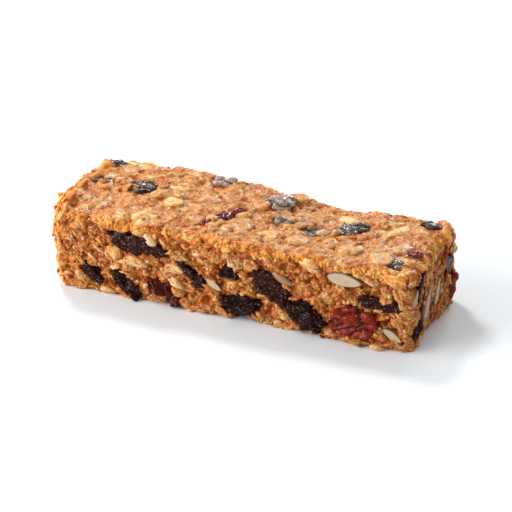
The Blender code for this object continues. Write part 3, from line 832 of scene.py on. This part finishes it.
def flakeShape(number, segments):
    # a ragged oval disc with a soft rim and a buckled face
    bm = bmesh.new()
    columns, rings = segments
    bmesh.ops.create_uvsphere(bm, u_segments=columns, v_segments=rings, radius=0.5)
    seed = Vector((3.1 * number, 1.7, 0.4 * number))
    waves = flakes["buckleWaves"]
    for vert in bm.verts:
        ragged = bitten(vert.co, seed, flakes["ragged"], flakes["bites"])
        level = math.copysign(abs(2 * vert.co.z) ** flakes["rim"], vert.co.z) / 2
        buckle = flakes["buckle"] * noise.noise(Vector((waves * vert.co.x, waves * vert.co.y, 0.0)) + seed)
        vert.co = Vector((vert.co.x * ragged, vert.co.y * ragged, level + buckle))
    return template(bm)


def settled(points, pose, surface, out, stand):
    # the shape at a pose, its highest point this far over the surface
    there = placed(points, pose)
    highest = ((there - np.array(surface)) @ np.array(out)).max()
    return there + np.array(out) * (stand - highest)


def onShownFlake(face, along, across, reach):
    # whether a place lies on a flake that shows on its own
    for other, (x, y), (long, broad), degrees, _, _ in flakes["shown"]:
        angle = math.radians(degrees)
        dx, dy = along - x * mm, across - y * mm
        first = dx * math.cos(angle) + dy * math.sin(angle)
        second = dy * math.cos(angle) - dx * math.sin(angle)
        if other == face and math.hypot(2 * first / (long * mm), 2 * second / (broad * mm)) < reach:
            return True
    return False


def rolledOats(massTree, fruitTree, material):
    draw = random.Random(flakes["seed"])
    plain = [flakeShape(number, flakes["segments"]) for number in range(flakes["shapes"])]
    fine = [flakeShape(number, flakes["fineSegments"]) for number in range(flakes["shapes"])]
    copies = []

    def lay(face, along, across, turn, lean, size, stand, tint, warmth, shapes):
        # one more copy, where the baked surface shows
        points, triangles = shapes[draw.randrange(len(shapes))]
        pose, rise = surfacePose(massTree, fruitTree, face, along, across, turn)
        if pose is None:
            return
        surface, out = pose.translation.copy(), pose.to_3x3().col[2].copy()
        edge = 1.0 - smoothStep(*flakes["edgeTurn"], max(abs(part) for part in out))
        pose = pose @ Matrix.Rotation(lean * (1.0 - edge), 4, "X") @ Matrix.Diagonal((*size, 1.0))
        if fruitTree.find_nearest(surface, flakes["fruitNear"])[0] is not None:
            stand += flakes["overFruit"]
        stand = max(stand * (1.0 - flakes["edgeCalm"] * edge) - rise, flakes["leastStand"])
        # the painted shade starts higher on a copy that lies down in a hollow
        level = surface - out * (flakes["depthShade"] * rise)
        copies.append((settled(points, pose, surface, out, stand), triangles, tint, warmth, level, out))

    for face, (columns, rows, leans, turns, stands, tints) in flakes["grids"].items():
        cut = 1.0 if face in ("top", "base") else flakes["cutShare"]
        for along, across in gridPlaces(face, columns, rows, draw):
            scale = cut * draw.uniform(1 - flakes["spread"], 1 + flakes["spread"])
            size = [side * scale * draw.uniform(*flakes["sideSpread"]) for side in flakes["size"]]
            turn = math.radians(draw.uniform(*turns))
            lean = math.radians(draw.choice((-1, 1)) * draw.uniform(*leans))
            stand = draw.uniform(*stands) * mm
            tint = draw.uniform(*tints)
            if not onShownFlake(face, along, across, flakes["clearOfShown"]):
                lay(face, along, across, turn, lean, size, stand, tint, 0.0, plain)
    for face, (along, across), (long, broad), degrees, stand, tint in flakes["shown"]:
        size = (long * mm, broad * mm, flakes["size"][2])
        warmth = flakes["shownGold"] if face == "top" and tint > flakes["goldTint"] else 0.0
        lay(face, along * mm, across * mm, math.radians(degrees), 0.0, size, stand * mm, tint, warmth, fine)
    piece = joinCopies("rolledOatFlakes", copies, material)
    return piece


# Crumbs of broken oats and bran
crumbs = {
    "shapes": 16,
    "size": (0.7 * mm, 2.2 * mm),
    "corners": (0.7, 1.2),  # how far a corner lies from the middle, as a share of a ball's
    "breadth": (0.6, 0.95),
    "thickness": (0.5, 0.85),
    "lean": 0.8,
    "clearOfShown": 0.9,
    "grids": {"top": (50, 16), "front": (84, 20), "back": (84, 20), "right": (26, 20), "left": (28, 20)},
    "stand": {"top": (0.02, 0.22), "front": (0.05, 0.4), "back": (0.05, 0.4), "right": (0.05, 0.4),
              "left": (0.05, 0.5)},  # as a share of the crumb's size
    "tint": (0.28, 0.66),
    "darkShare": 0.04,  # dark bran, in the cut sides
    "darkTint": 0.1,
    "lumpiness": (0.5, 0.25),  # in large and in small dents
    "dents": (2.2, 6.0),
    # lumps over the fruit of the top: place, size, turn in degrees, how far they stand out, and tint
    "lumps": [
        ((-35.2, 0.6), (5.2, 4.2, 3.4), 10, 1.9, 0.45),
        ((-37.6, 2.4), (3.4, 2.8, 2.6), 50, 1.6, 0.42),
        ((-46.8, 11.4), (4.8, 4.2, 3.2), 0, 1.9, 0.5),
        ((-9.2, -6.3), (3.6, 3.0, 2.6), 30, 1.4, 0.62),
        ((15.2, 1.6), (3.0, 2.4, 2.2), 0, 1.2, 0.5),
        ((20.4, -0.8), (4.0, 2.0, 2.2), 20, 1.3, 0.66),
        ((23.4, -0.6), (3.0, 2.2, 2.0), 60, 1.2, 0.5),
        ((10.4, 1.6), (3.4, 2.0, 2.0), 0, 1.1, 0.52),
        ((-44.0, 2.2), (3.6, 2.2, 2.0), 10, 1.2, 0.48),
    ],
    "seed": 57,
}


def crumbShape(number):
    bm = bmesh.new()
    bmesh.ops.create_icosphere(bm, subdivisions=1, radius=0.5)
    draw = random.Random(number)
    for vert in bm.verts:
        vert.co *= draw.uniform(*crumbs["corners"])
    thinned = (1.0, draw.uniform(*crumbs["breadth"]), draw.uniform(*crumbs["thickness"]))
    bmesh.ops.scale(bm, verts=bm.verts, vec=thinned)
    return template(bm)


def lumpShape(number):
    bm = bmesh.new()
    bmesh.ops.create_icosphere(bm, subdivisions=3, radius=0.5)
    seed = Vector((0.7 * number, 2.9, 1.1))
    for vert in bm.verts:
        vert.co *= bitten(vert.co, seed, crumbs["lumpiness"], crumbs["dents"])
    return template(bm)


def oatCrumbs(massTree, fruitTree, material):
    draw = random.Random(crumbs["seed"])
    shapes = [crumbShape(number) for number in range(crumbs["shapes"])]
    copies = []
    smallest, largest = crumbs["size"]
    for face, (columns, rows) in crumbs["grids"].items():
        for along, across in gridPlaces(face, columns, rows, draw):
            pose, rise = surfacePose(massTree, fruitTree, face, along, across, 0.0)
            size = smallest + (largest - smallest) * draw.random() ** 2
            points, triangles = shapes[draw.randrange(len(shapes))]
            dark = draw.random() < crumbs["darkShare"] and face != "top"
            tint = crumbs["darkTint"] if dark else draw.uniform(*crumbs["tint"])
            spin = Matrix.Rotation(draw.uniform(0, 2 * math.pi), 4, "Z")
            spin = spin @ Matrix.Rotation(draw.uniform(-crumbs["lean"], crumbs["lean"]), 4, "X")
            stand = size * draw.uniform(*crumbs["stand"][face])
            if pose is None or onShownFlake(face, along, across, crumbs["clearOfShown"]):
                continue
            surface, out = pose.translation.copy(), pose.to_3x3().col[2].copy()
            pose = pose @ spin @ Matrix.Scale(size, 4)
            # the painted shade starts higher on a crumb that lies down in a hollow
            level = surface - out * (flakes["depthShade"] * rise)
            copies.append((settled(points, pose, surface, out, stand), triangles, tint, 0.0, level, out))
    for (along, across), size, degrees, stand, tint in crumbs["lumps"]:
        pose = onFace("top", along * mm, across * mm, math.radians(degrees))
        surface, out = pose.translation.copy(), Vector((0.0, 0.0, 1.0))
        surface += out * blockRelief(surface, out)
        pose.translation = surface
        points, triangles = lumpShape(len(copies))
        pose = pose @ Matrix.Diagonal((*(side * mm for side in size), 1.0))
        copies.append((settled(points, pose, surface, out, stand * mm), triangles, tint, 0.0, surface, out))
    piece = joinCopies("oatCrumbs", copies, material)
    return piece


# Sunflower kernels: a teardrop each, whole or cut through
kernels = {
    "size": (9.6 * mm, 3.7 * mm, 2.6 * mm),
    "segments": (28, 18),
    "taper": 0.3,
    "stand": 0.6 * mm,
    "cutAt": 0.35,  # share of the half thickness where the knife went through
    "cutRim": (0.3, 0.5),  # the skin's rim round the cut
    "paintedShade": {"right": 0.4},  # how far the cut kernels of an end are browned: painted shade on the shaded right end
    "tan": 0.85,  # how far it browns the whole ones
    "tanRim": (0.35, 0.6),
    "groove": (0.02, 0.06),
    "grooveTan": 0.3,
    "uneven": 0.1 * mm,
    "unevenSpacing": 1.5 * mm,
    # face, place in mm, share of full size, turn in degrees, cut through or not
    "shown": [
        ("front", (31.7, 17.9), 1.0, -3, True),
        ("front", (45.0, 4.6), 0.62, -30, True),
        ("front", (-4.4, 9.4), 0.52, -34, True),
        ("front", (14.6, 14.6), 0.66, -24, False),
        ("right", (-5.4, 9.4), 0.95, 61, True),
        ("right", (2.2, 9.4), 0.8, 64, True),
        ("right", (-14.2, 15.4), 0.5, 55, True),
        ("back", (-34.0, 11.6), 0.9, 12, True),
        ("back", (-9.0, 17.0), 0.8, -18, False),
        ("back", (18.0, 10.6), 0.9, 30, True),
        ("left", (1.6, 17.4), 0.7, 20, False),
    ],
}


def kernelMesh(face, place, share, degrees, cutThrough):
    # one kernel on a face, flat where it is cut, with its skin as a thin rim round the cut
    bm = bmesh.new()
    columns, rings = kernels["segments"]
    bmesh.ops.create_uvsphere(bm, u_segments=columns, v_segments=rings, radius=0.5)
    bmesh.ops.rotate(bm, verts=bm.verts, matrix=Matrix.Rotation(math.pi / 2, 3, "Y"))
    limit = kernels["cutAt"] / 2
    cuts, tans = [], []
    for vert in bm.verts:
        rim = math.sqrt(max(0.0, 1.0 - 4 * (vert.co.x ** 2 + vert.co.y ** 2)))
        cuts.append(smoothStep(*kernels["cutRim"], rim) if cutThrough and vert.co.z > limit else 0.0)
        grooved = smoothStep(*kernels["groove"], abs(vert.co.y))
        skinned = kernels["tan"] * smoothStep(*kernels["tanRim"], rim)
        skinned *= kernels["grooveTan"] + (1.0 - kernels["grooveTan"]) * grooved
        # painted shade: the cut kernels of the shaded right end take the tan colour
        tans.append(kernels["paintedShade"].get(face, 0.0) if cutThrough else skinned)
        if cutThrough:
            vert.co.z = min(vert.co.z, limit)
        vert.co.y *= 1.0 - kernels["taper"] * max(0.0, 2 * vert.co.x)
        vert.co = Vector(vert.co[i] * kernels["size"][i] * share for i in range(3))
        vert.co.z += kernels["uneven"] * noise.noise(vert.co / kernels["unevenSpacing"])
    pose = onFace(face, place[0] * mm, place[1] * mm, math.radians(degrees))
    out = pose.to_3x3().col[2]
    pose.translation += out * blockRelief(pose.translation, out)
    bm.transform(pose)
    highest = max((vert.co - pose.translation).dot(out) for vert in bm.verts)
    bmesh.ops.translate(bm, verts=bm.verts, vec=out * (kernels["stand"] - highest))
    mesh = bpy.data.meshes.new("kernel")
    bm.to_mesh(mesh)
    bm.free()
    setAttribute(mesh, "cut", cuts)
    setAttribute(mesh, "tan", tans)
    return mesh


def sunflowerKernels(material):
    meshes = [kernelMesh(*row) for row in kernels["shown"]]
    piece = joinMeshes("sunflowerKernels", meshes, material)
    print(f"sunflowerKernels: {len(meshes)} kernels, {len(piece.data.polygons)} faces")
    return piece


def treeOf(pieces):
    # one search tree over the pieces' surfaces
    bm = bmesh.new()
    for piece in pieces:
        bm.from_mesh(piece.data)
    tree = BVHTree.FromBMesh(bm)
    bm.free()
    return tree


# Floor, light and camera. The floor is matte white paper, which shows nothing but the shadow
studio = {
    "floorSize": 6.0,
    "floorColour": "#E9EDF0",
    "floorShader": {"Roughness": 0.9, "IOR": 1.45, "Specular IOR Level": 0.0},
    # each light's direction, distance, size and power; the key stands where the shadow says
    "lights": {
        "key": ((-0.45, 0.43, 0.78), 0.7, 0.15, 2.35),
        "fill": ((-0.76, -0.56, 0.27), 0.55, 0.6, 5.1),
        "rear": ((0.0, 0.87, 0.46), 1.0, 0.34, 3.1),
    },
    "skyStrength": 0.58,
}
view = {
    "azimuth": 22.12,
    "elevation": 27.94,
    "distance": 0.8,
    "target": (0.73 * mm, 0.23 * mm, 10.78 * mm),
    "lens": 213.3,
    "sensor": 36.0,
    "clip": (0.05, 20.0),
}


def pointAt(thing, place, target):
    thing.location = place
    thing.rotation_euler = (Vector(target) - Vector(place)).to_track_quat("-Z", "Y").to_euler()


def softLight(name, direction, distance, size, power):
    light = bpy.data.lights.new(name, "AREA")
    light.shape = "DISK"
    light.size = size
    light.energy = power
    lamp = bpy.data.objects.new(name, light)
    bpy.context.scene.collection.objects.link(lamp)
    pointAt(lamp, Vector(direction).normalized() * distance, (0.0, 0.0, 0.0))


def studioFloor():
    bm = bmesh.new()
    bmesh.ops.create_grid(bm, x_segments=1, y_segments=1, size=studio["floorSize"] / 2)
    mesh = bpy.data.meshes.new("studioFloor")
    bm.to_mesh(mesh)
    bm.free()
    material, tree, shader = newMaterial("matteWhitePaper")
    setInputs(tree, shader, {**studio["floorShader"], "Base Color": linearColour(studio["floorColour"])})
    newObject("studioFloor", mesh, material)


def studioLight():
    for name, settings in studio["lights"].items():
        softLight(name, *settings)
    world = bpy.data.worlds.new("studio")
    bpy.context.scene.world = world
    world.use_nodes = True
    sky = {"Color": (1.0, 1.0, 1.0, 1.0), "Strength": studio["skyStrength"]}
    setInputs(world.node_tree, world.node_tree.nodes["Background"], sky)
    bpy.context.scene.view_settings.view_transform = "Standard"


def camera():
    lens = bpy.data.cameras.new("camera")
    lens.lens = view["lens"]
    lens.sensor_width = view["sensor"]
    lens.clip_start, lens.clip_end = view["clip"]
    azimuth, elevation = math.radians(view["azimuth"]), math.radians(view["elevation"])
    away = Vector((math.sin(azimuth) * math.cos(elevation), -math.cos(azimuth) * math.cos(elevation),
                   math.sin(elevation)))
    cameraObject = bpy.data.objects.new("camera", lens)
    bpy.context.scene.collection.objects.link(cameraObject)
    target = Vector(view["target"])
    pointAt(cameraObject, target + view["distance"] * away, target)
    bpy.context.scene.camera = cameraObject


camera()
studioFloor()
studioLight()
print("camera, floor and light are set")
fruitObjects = fruitPieces()
fruitTree = treeOf(fruitObjects)
oats = bakedOats()
oatMass, massNormals, massRises = bakedOatMass(fruitTree, oats)
kernelPiece = sunflowerKernels(sunflowerKernelSkin())
massTree = treeOf([oatMass])
coverTree = treeOf(fruitObjects + [kernelPiece])
flakePiece = rolledOats(massTree, coverTree, oats)
drapeOver(oatMass, massNormals, massRises, treeOf([flakePiece]), fruitTree)
crumbPiece = oatCrumbs(treeOf([oatMass, flakePiece]), coverTree, oats)
for piece in fruitObjects + [oatMass, kernelPiece, flakePiece, crumbPiece]:
    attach(piece, body)
